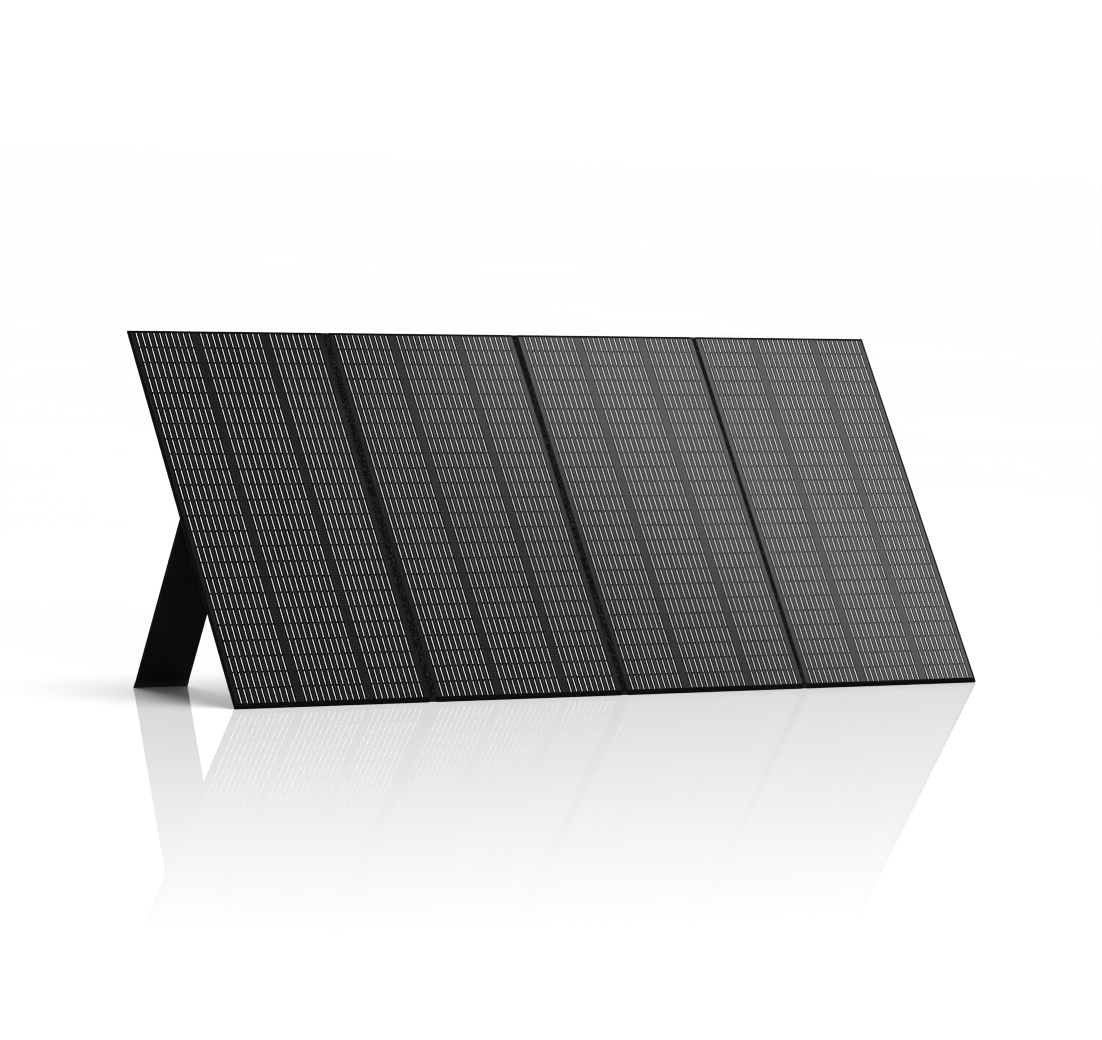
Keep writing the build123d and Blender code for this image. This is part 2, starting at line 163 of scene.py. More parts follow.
# ---- Mesh building ----
class Shape:
    """Points in flat panel directions, and faces with their material numbers."""

    def __init__(self):
        self.points = []
        self.faces = []
        self.paints = []
        self.local = []
        self.tones = []

    def add(self, points, faces, paint=0, tone=0.5, origin=(0, 0, 0)):
        start = len(self.points)
        self.points += [Vector(p) for p in points]
        self.local += [Vector(p) - Vector(origin) for p in points]
        self.faces += [tuple(start + i for i in face) for face in faces]
        self.paints += [paint] * len(faces)
        self.tones += [tone] * len(points)

    def loft(self, rings, paint=0, closed=False):
        """Skins rings of points of the same count; the ends are capped, or joined if closed."""
        count = len(rings[0])
        faces = []
        last = (len(rings) - 1) * count
        for i in range(len(rings) if closed else len(rings) - 1):
            a, b = i * count, ((i + 1) % len(rings)) * count
            for j in range(count):
                k = (j + 1) % count
                faces.append((a + j, a + k, b + k, b + j))
        if not closed:
            faces.append(tuple(range(count))[::-1])
            faces.append(tuple(range(last, last + count)))
        self.add([p for ring in rings for p in ring], faces, paint)

    def pad(self, x, u, n, chamfer):
        """A block whose front edges are chamfered."""
        levels = ((0, n[0]), (0, n[1] - chamfer), (chamfer, n[1]))
        self.loft([[(*corner, level) for corner in inset_corners(x, u, inset)] for inset, level in levels])

    def tile(self, cuts, paints, u, n, chamfer, tone, origin):
        """A block with chamfered front edges, cut across x into stretches with their own paints."""
        c, d = u
        last = len(cuts) - 1
        points = []
        for i, x in enumerate(cuts):
            inner = x + chamfer * (i == 0) - chamfer * (i == last)
            low, high = n[1] - chamfer, n[1]
            points += [(x, c, n[0]), (x, c, low), (inner, c + chamfer, high)]
            points += [(inner, d - chamfer, high), (x, d, low), (x, d, n[0])]
        ends = [(5, 4, 3, 2, 1, 0), tuple(last * 6 + j for j in range(6))]
        self.add(points, ends, paints[0], tone, origin)
        start = len(self.points) - len(points)
        for i, paint in enumerate(paints):
            a, b = start + i * 6, start + i * 6 + 6
            self.faces += [(a + j, a + (j + 1) % 6, b + (j + 1) % 6, b + j) for j in range(6)]
            self.paints += [paint] * 6

    def bar(self, x, u, n, radius, along, paint=0, pitch=20 * MM, wobble=0.0):
        """A bar with rounded long edges, along x (0) or u (1)."""
        run, cross = (x, u) if along == 0 else (u, x)
        count = max(2, round((run[1] - run[0]) / pitch))
        rings = []
        for i in range(count + 1):
            t = run[0] + (run[1] - run[0]) * i / count
            shift = wobble * noise.noise(Vector((t * 60, cross[0] * 9, n[0] * 500)))
            ring = [(a, b + shift * (b > sum(n) / 2)) for a, b in rounded_rectangle(cross, n, radius)]
            rings.append([(t, a, b) if along == 0 else (a, t, b) for a, b in ring])
        self.loft(rings, paint)

    def slab(self, xs, us, front, back):
        """A closed sheet over a grid of x and u places, between two height functions of (x, u)."""
        nx, nu = len(xs), len(us)
        points = [(x, u, height(x, u)) for height in (front, back) for u in us for x in xs]
        faces = []
        half = nx * nu
        for j in range(nu - 1):
            for i in range(nx - 1):
                a = j * nx + i
                faces.append((a, a + 1, a + nx + 1, a + nx))
                faces.append((half + a, half + a + nx, half + a + nx + 1, half + a + 1))
        rim = list(range(nx)) + [j * nx + nx - 1 for j in range(1, nu)]
        rim += [(nu - 1) * nx + i for i in range(nx - 2, -1, -1)] + [j * nx for j in range(nu - 2, 0, -1)]
        for i, a in enumerate(rim):
            b = rim[(i + 1) % len(rim)]
            faces.append((a, half + a, half + b, b))
        self.add(points, faces)

    def stitches(self, start, end, out, paint=0, pitch=STITCH_PITCH, height=STITCH_HEIGHT):
        """A row of thread stitches from start to end, lying on a surface that faces out."""
        start, end, out = Vector(start), Vector(end), Vector(out).normalized()
        along = (end - start).normalized()
        across = out.cross(along)
        count = int((end - start).length / pitch)
        for i in range(count):
            middle = start + along * (i + 0.5) * pitch
            tilt = across * 0.18 * MM * (1 if i % 2 else -1)
            rings = []
            for t, size in ((-0.5, 0.35), (-0.3, 0.95), (0.3, 0.95), (0.5, 0.35)):
                centre = middle + along * t * STITCH_LENGTH + tilt * t * 2
                ring = []
                for a in (0, 60, 120, 180):
                    side = across * cos(radians(a)) * STITCH_WIDTH / 2 * size
                    ring.append(centre + side + out * sin(radians(a)) * height * size)
                rings.append(ring)
            self.loft(rings, paint)

    def seam(self, ends, inset, line, level, face, along=0):
        """Stitches along x (0) or u (1), on a surface that faces front (1) or back (-1)."""
        points = [(t, line) if along == 0 else (line, t) for t in (ends[0] + inset, ends[1] - inset)]
        self.stitches((*points[0], level), (*points[1], level), (0, 0, face), 1)

    def stitches_round(self, x, u, inset, level, out, pitch=STITCH_PITCH):
        """Four rows of stitches, inset from the sides of a rectangle."""
        corners = inset_corners(x, u, inset)
        for a, b in zip(corners, corners[1:] + corners[:1]):
            self.stitches((*a, level), (*b, level), out, 1, pitch)


def inset_corners(x, u, inset):
    """The corners of a rectangle inset from its (low, high) pairs x and u, in turn."""
    a, b, c, d = x[0] + inset, x[1] - inset, u[0] + inset, u[1] - inset
    return [(a, c), (b, c), (b, d), (a, d)]


def rounded_rectangle(a, b, radius):
    """A counter-clockwise outline with rounded corners, between the (low, high) pairs a and b."""
    radius = min(radius, (a[1] - a[0]) / 2.001, (b[1] - b[0]) / 2.001)
    left, right, low, high = a[0] + radius, a[1] - radius, b[0] + radius, b[1] - radius
    points = []
    for ca, cb, begin in ((right, high, 0), (left, high, 90), (left, low, 180), (right, low, 270)):
        for turn in (0, 30, 60, 90):
            angle = radians(begin + turn)
            points.append((ca + radius * cos(angle), cb + radius * sin(angle)))
    return points


def circle(count):
    """Angles evenly round a circle."""
    return [2 * pi * i / count for i in range(count)]


def headings(path):
    """The points of a path, each with the direction of the path there."""
    for i, point in enumerate(path):
        before, after = path[max(0, i - 1)], path[min(len(path) - 1, i + 1)]
        yield point, (after - before).normalized()


def swept(path, section):
    """Rings of a section carried along a path that lies in the x, u plane."""
    rings = []
    for i, (point, along) in enumerate(headings(path)):
        across = Vector((0, 0, 1)).cross(along)
        outline = section(i / (len(path) - 1))
        rings.append([point + across * a + Vector((0, 0, b)) for a, b in outline])
    return rings


def ribbon(path, x, thickness, radius):
    """Rings of a ribbon between two x places, carried along a path that lies in the u, n plane."""
    outline = rounded_rectangle(x, (-thickness / 2, thickness / 2), radius)
    return [
        [Vector((a, point.y, point.z)) + SIDE.cross(along) * b for a, b in outline]
        for point, along in headings(path)
    ]


def spread(low, high, pitch, edge):
    """Places about pitch apart, with extra ones the edge distances inside both ends."""
    inner_low, inner_high = low + edge[-1], high - edge[-1]
    count = max(1, round((inner_high - inner_low) / pitch))
    middle = [inner_low + (inner_high - inner_low) * i / count for i in range(count + 1)]
    return [low] + [low + e for e in edge[:-1]] + middle + [high - e for e in edge[-2::-1]] + [high]


def edge_round(x, u, x_span, u_span, radius):
    """1 inside a sheet, falling to 0 along a quarter circle within radius of its edges."""
    distance = min(x - x_span[0], x_span[1] - x, u - u_span[0], u_span[1] - u)
    return sqrt(max(0.0, 1 - max(0.0, 1 - distance / radius) ** 2))


def add_object(name, data):
    """Puts data into the scene as an object."""
    obj = bpy.data.objects.new(name, data)
    bpy.context.scene.collection.objects.link(obj)
    return obj


def make(name, shape, paints, place=LEAN, smooth_angle=35):
    """Turns a shape into an object, with its flat coordinates kept for the materials."""
    mesh = bpy.data.meshes.new(name)
    mesh.from_pydata([place @ p for p in shape.points], [], shape.faces)
    flat_places = mesh.attributes.new("flat", "FLOAT_VECTOR", "POINT")
    flat_places.data.foreach_set("vector", [c for p in shape.local for c in p])
    tones = mesh.attributes.new("tone", "FLOAT", "POINT")
    tones.data.foreach_set("value", shape.tones)
    for paint in paints:
        mesh.materials.append(paint)
    mesh.polygons.foreach_set("material_index", shape.paints)
    mesh.shade_smooth()
    mesh.set_sharp_from_angle(angle=radians(smooth_angle))
    mesh.update()
    return add_object(name, mesh)


# ---- Materials ----
class Paint:
    """A material graph around one Principled shader."""

    def __init__(self, name, **values):
        self.material = bpy.data.materials.new(name)
        self.material.use_nodes = True
        self.tree = self.material.node_tree
        self.shader = self.tree.nodes["Principled BSDF"]
        for socket, value in values.items():
            self.shader.inputs[socket.replace("_", " ").title().replace("Ior", "IOR")].default_value = value

    def node(self, kind, inputs=(), **settings):
        made = self.tree.nodes.new(kind)
        for key, value in settings.items():
            setattr(made, key, value)
        for socket, value in dict(inputs).items():
            if isinstance(value, bpy.types.NodeSocket):
                self.tree.links.new(value, made.inputs[socket])
            else:
                made.inputs[socket].default_value = value
        return made

    def math(self, operation, a, b=0.0, c=0.0):
        return self.node("ShaderNodeMath", {0: a, 1: b, 2: c}, operation=operation).outputs[0]

    def times(self, a, b):
        return self.math("MULTIPLY", a, b)

    def plus(self, a, b):
        return self.math("ADD", a, b)

    def scaled_plus(self, a, scale, added):
        return self.math("MULTIPLY_ADD", a, scale, added)

    def wave(self, value, length):
        return self.math("SINE", self.times(value, 2 * pi / length))

    def striped(self, value, pitch, share):
        """1 over the first share of each pitch along a value, and 0 over the rest."""
        return self.math("LESS_THAN", self.math("FRACT", self.math("DIVIDE", value, pitch)), share)

    def vector_math(self, operation, vector, other=(0, 0, 0)):
        return self.node("ShaderNodeVectorMath", {0: vector, 1: other}, operation=operation).outputs[0]

    def noise(self, vector, scale, detail=3.0, roughness=0.55):
        inputs = {"Vector": vector, "Scale": scale, "Detail": detail, "Roughness": roughness}
        return self.node("ShaderNodeTexNoise", inputs).outputs["Fac"]

    def ramp(self, value, stops):
        made = self.node("ShaderNodeValToRGB", {"Fac": value})
        ramp = made.color_ramp
        while len(ramp.elements) < len(stops):
            ramp.elements.new(0.5)
        for element, (place, colour) in zip(ramp.elements, stops):
            element.position = place
            element.color = (*colour, 1)
        return made.outputs["Color"]

    def mix(self, factor, a, b):
        colours = [c if isinstance(c, bpy.types.NodeSocket) else (*c, 1) for c in (a, b)]
        inputs = {0: factor, 6: colours[0], 7: colours[1]}
        return self.node("ShaderNodeMix", inputs, data_type="RGBA").outputs[2]

    def put(self, socket, value):
        self.tree.links.new(value, self.shader.inputs[socket])

    def bump(self, height, distance, strength=1.0, over=None):
        """Bumps the surface, on top of the bump given as over."""
        inputs = {"Height": height, "Distance": distance, "Strength": strength}
        if over is not None:
            inputs["Normal"] = over
        normal = self.node("ShaderNodeBump", inputs).outputs["Normal"]
        self.put("Normal", normal)
        return normal

    def flat(self):
        """The flat coordinates kept on a modelled piece."""
        return self.node("ShaderNodeAttribute", attribute_name="flat").outputs["Vector"]

    def object(self):
        """Object coordinates, for a CAD piece."""
        return self.node("ShaderNodeTexCoord").outputs["Object"]

    def tone(self):
        return self.node("ShaderNodeAttribute", attribute_name="tone").outputs["Fac"]

    def fade(self, value, low, high):
        """0 at low and 1 at high, clamped outside them."""
        inputs = {"Value": value, "From Min": low, "From Max": high}
        return self.node("ShaderNodeMapRange", inputs, interpolation_type="SMOOTHSTEP").outputs["Result"]

    def off(self, value, centre):
        """How far a value is from a centre."""
        return self.math("ABSOLUTE", self.math("SUBTRACT", value, centre))

    def parts(self, vector):
        return self.node("ShaderNodeSeparateXYZ", {0: vector}).outputs[:3]


def grey(value, tint=0.0):
    """A grey, a little blue where tint is positive."""
    return (value * (1 - tint), value, value * (1 + tint * 2))


def weave_height(p, vector, pitch):
    """The over and under of a plain weave: crossing threads of the given pitch."""
    x, u, _ = p.parts(vector)
    wave_x = p.wave(x, 2 * pitch)
    wave_u = p.wave(u, 2 * pitch)
    over = p.times(wave_x, wave_u)
    threads = p.times(p.math("ABSOLUTE", wave_x), p.math("ABSOLUTE", wave_u))
    return p.plus(p.times(over, 0.35), threads)


def face_finish(p, place, relief=None):
    """The finely dimpled film over a leaf's face, with faint handling marks in its gloss."""
    marks = p.noise(place, 11.0, 5.0, 0.65)
    p.put("Roughness", p.scaled_plus(marks, 0.16, FACE_ROUGHNESS - 0.08))
    dimples = p.noise(place, 1300.0, 1.0)
    p.bump(dimples if relief is None else p.plus(dimples, relief), 0.05 * MM, 0.5)


def film_material(name, gloss, scale, dark, pale):
    """What lies under the clear textured film, mottled between two greys."""
    p = Paint(name, roughness=FACE_ROUGHNESS, specular_ior_level=gloss)
    place = p.flat()
    p.put("Base Color", p.ramp(p.noise(place, scale), ((0.3, dark), (0.7, pale))))
    face_finish(p, place)
    return p.material


def cell_material(name, pale, gloss):
    """A solar cell with dark upper and lower rims and fine printed fingers across it."""
    low, high = pairs(steps("leaf_1_cell_strips", 1))[0]
    half = (high - low) / 2
    p = Paint(name, roughness=FACE_ROUGHNESS, specular_ior_level=gloss)
    place = p.flat()
    _, u, _ = p.parts(place)
    printed = p.striped(u, FINGER_PITCH, 0.22)
    heavier = p.striped(u, 4 * FINGER_PITCH, 0.45)
    rim = p.fade(p.off(u, half), half - 2.8 * MM, half - 2.0 * MM)
    base = p.mix(p.tone(), grey(pale * 0.8, 0.02), grey(pale * 1.2, 0.02))
    base = p.mix(p.times(heavier, 0.4), base, grey(pale * 2.6, 0.02))
    base = p.mix(p.times(printed, 0.25), base, grey(pale * 5, 0.02))
    p.put("Base Color", p.mix(p.times(rim, 0.8), base, grey(0.001)))
    p.put("Specular IOR Level", p.scaled_plus(heavier, -0.5 * gloss, 1.2 * gloss))
    face_finish(p, place, p.times(printed, 0.4))
    return p.material


def fabric_material(name, value, pitch, sheen, depth, folds):
    """Coated plain-weave cloth: heavier ripstop threads, uneven dye, a soft sheen and folds."""
    speckle, rough, gloss = 0.35, 0.82, 0.22
    p = Paint(name, roughness=rough, sheen_weight=sheen, sheen_roughness=0.5, specular_ior_level=gloss)
    place = p.flat()
    weave = weave_height(p, place, pitch)
    fleck = p.noise(place, 0.6 / pitch, 2.0)
    worn = p.noise(place, 9.0)
    x, u, _ = p.parts(place)
    heavy = p.math("MAXIMUM", p.striped(x, RIPSTOP_PITCH, 0.2), p.striped(u, RIPSTOP_PITCH, 0.2))
    thread = p.mix(p.times(weave, 0.8), grey(value * 0.3), grey(value * 1.5))
    thread = p.mix(p.times(heavy, 0.6), thread, grey(value * 2.4))
    flecked = p.mix(p.times(fleck, speckle), thread, grey(value * 2.2))
    p.put("Base Color", p.mix(p.times(worn, 0.25), flecked, grey(value * 1.6)))
    p.put("Roughness", p.scaled_plus(fleck, 0.16, rough - 0.1))
    p.put("Specular IOR Level", p.scaled_plus(weave, gloss, gloss * 0.35))
    fold = p.noise(p.vector_math("MULTIPLY", place, (1.0, 0.45, 1.0)), 17.0, 3.0, 0.5)
    folded = p.bump(fold, folds * MM, 1.0)
    relief = p.plus(weave, p.times(fleck, 0.5))
    p.bump(p.plus(relief, p.times(heavy, 0.6)), depth * MM, 0.8, folded)
    return p.material


def hinge_material():
    """Dark hinge cloth with a coarse, speckled pile of pale and dark threads."""
    p = Paint("speckled_hinge_cloth", roughness=0.9, specular_ior_level=0.06)
    place = p.flat()
    coarse = p.noise(place, 210.0, 3.0, 0.6)
    fine = p.noise(place, 1500.0, 2.0)
    weave = weave_height(p, place, 0.9 * MM)
    speckle = p.ramp(coarse, ((0.44, grey(0.0005)), (0.53, grey(0.003)), (0.62, grey(0.055))))
    thread = p.mix(p.ramp(fine, ((0.42, grey(0.0)), (0.58, grey(1.0)))), grey(0.0012), speckle)
    p.put("Base Color", p.mix(p.times(weave, 0.75), thread, speckle))
    p.bump(p.plus(p.plus(coarse, weave), p.times(fine, 0.4)), 0.4 * MM, 0.9)
    return p.material


def tape_material():
    """Ribbed binding tape: fine ribs across the tape."""
    p = Paint("ribbed_binding_tape", roughness=0.55, specular_ior_level=0.03)
    place = p.flat()
    x, u, _ = p.parts(place)
    rib_pitch = 0.9 * MM
    ribs = p.wave(p.plus(x, u), rib_pitch)
    fleck = p.noise(place, 800.0, 2.0)
    p.put("Base Color", p.mix(p.scaled_plus(ribs, 0.3, 0.4), grey(0.0008), grey(0.0026)))
    p.put("Roughness", p.scaled_plus(fleck, 0.2, 0.45))
    p.bump(p.plus(ribs, fleck), 0.08 * MM, 0.6)
    return p.material


def webbing_material():
    """Polyester webbing: a herringbone of thick threads."""
    p = Paint("webbing_flat", roughness=0.65, specular_ior_level=0.2)
    place = p.flat()
    x, u, n = p.parts(place)
    thread_pitch, band = 1.5 * MM, 5.0 * MM
    zigzag = p.math("PINGPONG", x, band)
    threads = p.wave(p.plus(p.math("SUBTRACT", u, n), zigzag), thread_pitch)
    fleck = p.noise(place, 900.0, 2.0)
    p.put("Base Color", p.mix(p.scaled_plus(threads, 0.4, 0.5), grey(0.004), grey(0.024)))
    p.bump(p.plus(threads, p.times(fleck, 0.5)), 0.25 * MM, 0.8)
    return p.material


def thread_material(name, value, sheen):
    """Polyester sewing thread with a twisted lay."""
    p = Paint(name, roughness=0.5, sheen_weight=sheen, sheen_roughness=0.3, specular_ior_level=sheen)
    place = p.flat()
    x, u, n = p.parts(place)
    lay_pitch = 0.5 * MM
    lay = p.wave(p.plus(p.plus(x, u), n), lay_pitch)
    p.put("Base Color", p.mix(p.scaled_plus(lay, 0.4, 0.5), grey(value), grey(value * 2.8)))
    p.bump(lay, 0.05 * MM, 0.6)
    return p.material


def plastic_material(name, value, rough, modelled=False):
    """Moulded plastic or rubber with a spark-eroded grain and slight handling marks."""
    p = Paint(name, roughness=rough)
    place = p.flat() if modelled else p.object()
    grain = p.noise(place, 1100.0, 2.0)
    marks = p.noise(place, 25.0, 4.0, 0.6)
    p.put("Base Color", p.mix(p.times(marks, 0.5), grey(value), grey(value * 1.5)))
    p.put("Roughness", p.scaled_plus(marks, 0.2, rough - 0.1))
    p.bump(grain, 0.06 * MM, 0.6)
    return p.material


def metal_material(name, value, rough, modelled=False):
    """Plated metal, faintly brushed and worn."""
    p = Paint(name, roughness=rough, metallic=1.0)
    place = p.flat() if modelled else p.object()
    brushed = p.noise(p.vector_math("MULTIPLY", place, (40.0, 900.0, 900.0)), 1.0, 2.0)
    worn = p.noise(place, 120.0)
    p.put("Base Color", p.mix(worn, grey(value), grey(value * 1.5)))
    p.put("Roughness", p.scaled_plus(brushed, 0.2, rough - 0.1))
    p.bump(brushed, 0.02 * MM, 0.4)
    return p.material


def floor_material():
    """A pale matt floor, with a faint mirror near the object that fades out over a few metres."""
    low, high = CAD_BOX
    p = Paint("pale_floor", roughness=1.0, specular_ior_level=0.0, emission_strength=FLOOR_GLOW)
    p.shader.inputs["Emission Color"].default_value = (1, 1, 1, 1)
    place = p.object()
    p.put("Base Color", p.ramp(p.noise(place, 0.4), ((0.3, grey(0.89)), (0.7, grey(0.91)))))
    corner = (max(-low.x, high.x), max(-low.y, high.y), 1.0)
    outside = p.vector_math("SUBTRACT", p.vector_math("ABSOLUTE", place), corner)
    outside = p.vector_math("MAXIMUM", outside)
    distance = p.node("ShaderNodeVectorMath", {0: outside}, operation="LENGTH").outputs["Value"]
    share = p.math("MAXIMUM", p.scaled_plus(distance, -MIRROR_SHARE / MIRROR_REACH, MIRROR_SHARE))
    mirror = p.node("ShaderNodeBsdfGlossy", {"Color": (1, 1, 1, 1), "Roughness": 0.0})
    mixed = p.node("ShaderNodeMixShader", {0: share, 1: p.shader.outputs[0], 2: mirror.outputs[0]})
    p.tree.links.new(mixed.outputs[0], p.tree.nodes["Material Output"].inputs["Surface"])
    return p.material


FILM = film_material("clear_film_over_dark_sheet", BAND_GLOSS, 7.0, grey(0.003, 0.02), grey(0.0045, 0.02))
CELL = cell_material("solar_cell_beside_busbar", 0.0008, CELL_GLOSS)
PLAIN_CELL = cell_material("solar_cell_between_busbars", 0.0036, PLAIN_GLOSS)
BAND_CELL = cell_material("solar_cell_at_strip_edge", 0.0036, BAND_GLOSS)
BUSBAR = film_material("tinned_busbar", CELL_GLOSS, 500.0, grey(0.86), grey(0.95))
OXFORD = fabric_material("black_oxford_cloth", 0.0027, 0.85 * MM, 0.02, 0.22, 1.2)
# The back cover's copy of the legs' black oxford cloth, painted about four times lighter than the leg copy:
# painted light standing in for light on the panel's back.
BACK_CLOTH_PAINTED_LIT = fabric_material("black_oxford_back_painted_lighter", 0.012, 0.85 * MM, 0.05, 0.3, 4.0)
# The pouch and grip copy of the same black oxford cloth, painted about five times lighter than the leg
# copy: painted light standing in for light on the panel's back.
BAG_CLOTH_PAINTED_LIT = fabric_material("black_oxford_bag_painted_lighter", 0.014, 1.3 * MM, 0.08, 0.4, 0.6)
HINGE_CLOTH = hinge_material()
TAPE = tape_material()
WEBBING = webbing_material()
THREAD = thread_material("sewing_thread", 0.03, 0.2)
BLACK_THREAD = thread_material("black_sewing_thread", 0.0015, 0.03)
BOARD = plastic_material("black_fibreglass_board", 0.008, 0.55)
RUBBER = plastic_material("black_rubber", 0.009, 0.75)
PLASTIC = plastic_material("black_moulded_plastic", 0.012, 0.5)
LID_PLASTIC = plastic_material("black_moulded_ribs", 0.012, 0.5, True)
DARK_METAL = metal_material("dark_plated_steel", 0.05, 0.35)
ZIP_METAL = metal_material("zip_teeth_metal", 0.09, 0.4, True)
RIVET_METAL = metal_material("rivet_metal", 0.07, 0.35, True)


def paint_cad(nodes, material):
    """Gives CAD nodes a material."""
    for name in nodes:
        slots = frame["nodes"][name].data.materials
        slots.clear()
        slots.append(material)


def puffed(obj, held, pressure, growth, cap, frames):
    """Swells a piece of cloth by simulation, by at most cap, and keeps the result."""
    vertices = obj.data.vertices
    before = [v.co.copy() for v in vertices]
    pins = obj.vertex_groups.new(name="held")
    pins.add([v.index for v in vertices if held(v.co)], 1.0, "REPLACE")
    modifier = obj.modifiers.new("cloth", "CLOTH")
    cloth = modifier.settings
    cloth.quality = 6
    cloth.mass = 0.2
    cloth.tension_stiffness = 20
    cloth.compression_stiffness = 20
    cloth.shear_stiffness = 6
    cloth.bending_stiffness = 0.1
    cloth.vertex_group_mass = pins.name
    cloth.use_pressure = True
    cloth.uniform_pressure_force = pressure
    cloth.shrink_min = -growth
    cloth.effector_weights.gravity = 0
    modifier.collision_settings.use_collision = False
    modifier.point_cache.frame_start = 1
    modifier.point_cache.frame_end = frames
    for number in range(1, frames + 1):
        bpy.context.scene.frame_set(number)
    settled = obj.evaluated_get(bpy.context.evaluated_depsgraph_get()).data.vertices
    moves = [after.co - co for after, co in zip(settled, before)]
    obj.modifiers.remove(modifier)
    obj.vertex_groups.remove(pins)
    bpy.context.scene.frame_set(1)
    for vertex, co, move in zip(vertices, before, moves):
        vertex.co = co + move * min(1.0, cap / max(move.length, 1e-9))
    obj.data.update()


def soften(nodes, width):
    """Rounds the edges of CAD nodes for the render."""
    for name in nodes:
        modifier = frame["nodes"][name].modifiers.new("edges", "BEVEL")
        modifier.width = width
        modifier.segments = 2
        modifier.limit_method = "ANGLE"
        modifier.angle_limit = radians(40)


# ---- Leaves ----
def solar_face(leaf):
    """The front of a leaf: the film, the cell strips under it, and their busbar dashes."""
    film_node, cell_node = f"leaf_{leaf}_front_film", f"leaf_{leaf}_cell_strips"
    x, u, n = span(film_node)
    film = Shape()
    film.pad(x, u, n, FILM_CHAMFER)
    face = make(f"leaf_{leaf}_film", film, [FILM])
    columns, rows = pairs(steps(cell_node, 0)), pairs(steps(cell_node, 1))
    draw = random.Random(leaf)
    cells, busbars = Shape(), Shape()
    first = columns[0][0] + BUSBAR_PITCH / 2
    count = round((columns[-1][1] - columns[0][0]) / BUSBAR_PITCH)
    lines = [first + i * BUSBAR_PITCH for i in range(count)]
    lines = [a for a in lines if any(c[0] + BUSBAR_WIDTH < a < c[1] - BUSBAR_WIDTH for c in columns)]
    top = n[1] + CELL_RISE
    for low, high in rows:
        middle = (low + high) / 2
        half = (rows[1][0] - rows[0][0] - DASH_GAP) / 2
        for column in columns:
            inside = [a for a in lines if column[0] < a < column[1]]
            cuts = [column[0]] + [a + side * DARK_HALF for a in inside for side in (-1, 1)] + [column[1]]
            paints = [2, 0] + [1, 0] * (len(inside) - 1) + [2]
            level = (n[1] - CELL_SINK, top)
            cells.tile(cuts, paints, (low, high), level, CELL_CHAMFER, draw.random(), (first, low, 0))
        for a in lines:
            across = (a - BUSBAR_WIDTH / 2, a + BUSBAR_WIDTH / 2)
            level = (top, top + BUSBAR_HEIGHT)
            busbars.pad(across, (middle - half, middle + half), level, BUSBAR_CHAMFER)
    strips = make(f"leaf_{leaf}_cells", cells, [CELL, PLAIN_CELL, BAND_CELL], smooth_angle=10)
    dashes = make(f"leaf_{leaf}_busbars", busbars, [BUSBAR], smooth_angle=10)
    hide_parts(film_node)
    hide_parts(cell_node)
    for obj, slot in ((face, "front_film"), (strips, "solar_cells"), (dashes, "solar_cells")):
        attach(obj, f"leaf_{leaf}")


def edge_tape(leaf):
    """Binding tape folded round a leaf's free edges, sewn down over its face."""
    node = f"leaf_{leaf}_edge_binding"
    inner_x, inner_u, _ = span(f"leaf_{leaf}_front_film")
    outer_x, outer_u, n = span(node)
    proud = (n[0] - TAPE_PROUD, n[1] + TAPE_PROUD)
    bars = [(outer_x, (outer_u[0], inner_u[0]), 0, 1), (outer_x, (inner_u[1], outer_u[1]), 0, 0)]
    if outer_x[0] < inner_x[0] - MM:
        bars.append(((outer_x[0], inner_x[0]), inner_u, 1, 1))
    if outer_x[1] > inner_x[1] + MM:
        bars.append(((inner_x[1], outer_x[1]), inner_u, 1, 0))
    tape = Shape()
    for x, u, along, inner in bars:
        cross = list((u, x)[along])
        tape.bar(x, u, proud, TAPE_ROUND, along, wobble=TAPE_WOBBLE)
        cross[inner] += TAPE_LAP * (1 if inner else -1)
        flat_x, flat_u = (cross, u) if along else (x, cross)
        for level in ((n[1] - TAPE_LAP_ROUND, proud[1]), (proud[0], n[0] + TAPE_LAP_ROUND)):
            tape.bar(flat_x, flat_u, level, TAPE_LAP_ROUND, along, wobble=TAPE_WOBBLE)
        line = cross[inner] - TAPE_SEAM * (1 if inner else -1)
        for level, face in ((proud[1], 1), (proud[0], -1)):
            tape.seam((x, u)[along], MM, line, level, face, along)
    obj = make(f"leaf_{leaf}_tape", tape, [TAPE, BLACK_THREAD])
    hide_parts(node)
    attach(obj, f"leaf_{leaf}")


def rear_cloth(leaf):
    """The woven cover on a leaf's back, a little uneven, sewn down along its edges."""
    node = f"leaf_{leaf}_rear_cover"
    x, u, n = span(node)

    def back(px, pu):
        wave = noise.noise(Vector((px * 9, pu * 7, leaf * 3.1)))
        fine = noise.noise(Vector((px * 45, pu * 38, leaf * 5.7)))
        near_edge = edge_round(px, pu, x, u, 14 * MM)
        return n[0] - (0.10 + 0.14 * wave + 0.05 * fine) * MM * near_edge

    cloth = Shape()
    edge = (0.8 * MM, 3 * MM, 7 * MM, 14 * MM)
    cloth.slab(spread(*x, 14 * MM, edge), spread(*u, 14 * MM, edge), lambda px, pu: n[1], back)
    cloth.stitches_round(x, u, 5 * MM, n[0] + 0.02 * MM, (0, 0, -1))
    obj = make(f"leaf_{leaf}_rear_cloth", cloth, [BACK_CLOTH_PAINTED_LIT, THREAD])
    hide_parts(node)
    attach(obj, f"leaf_{leaf}")


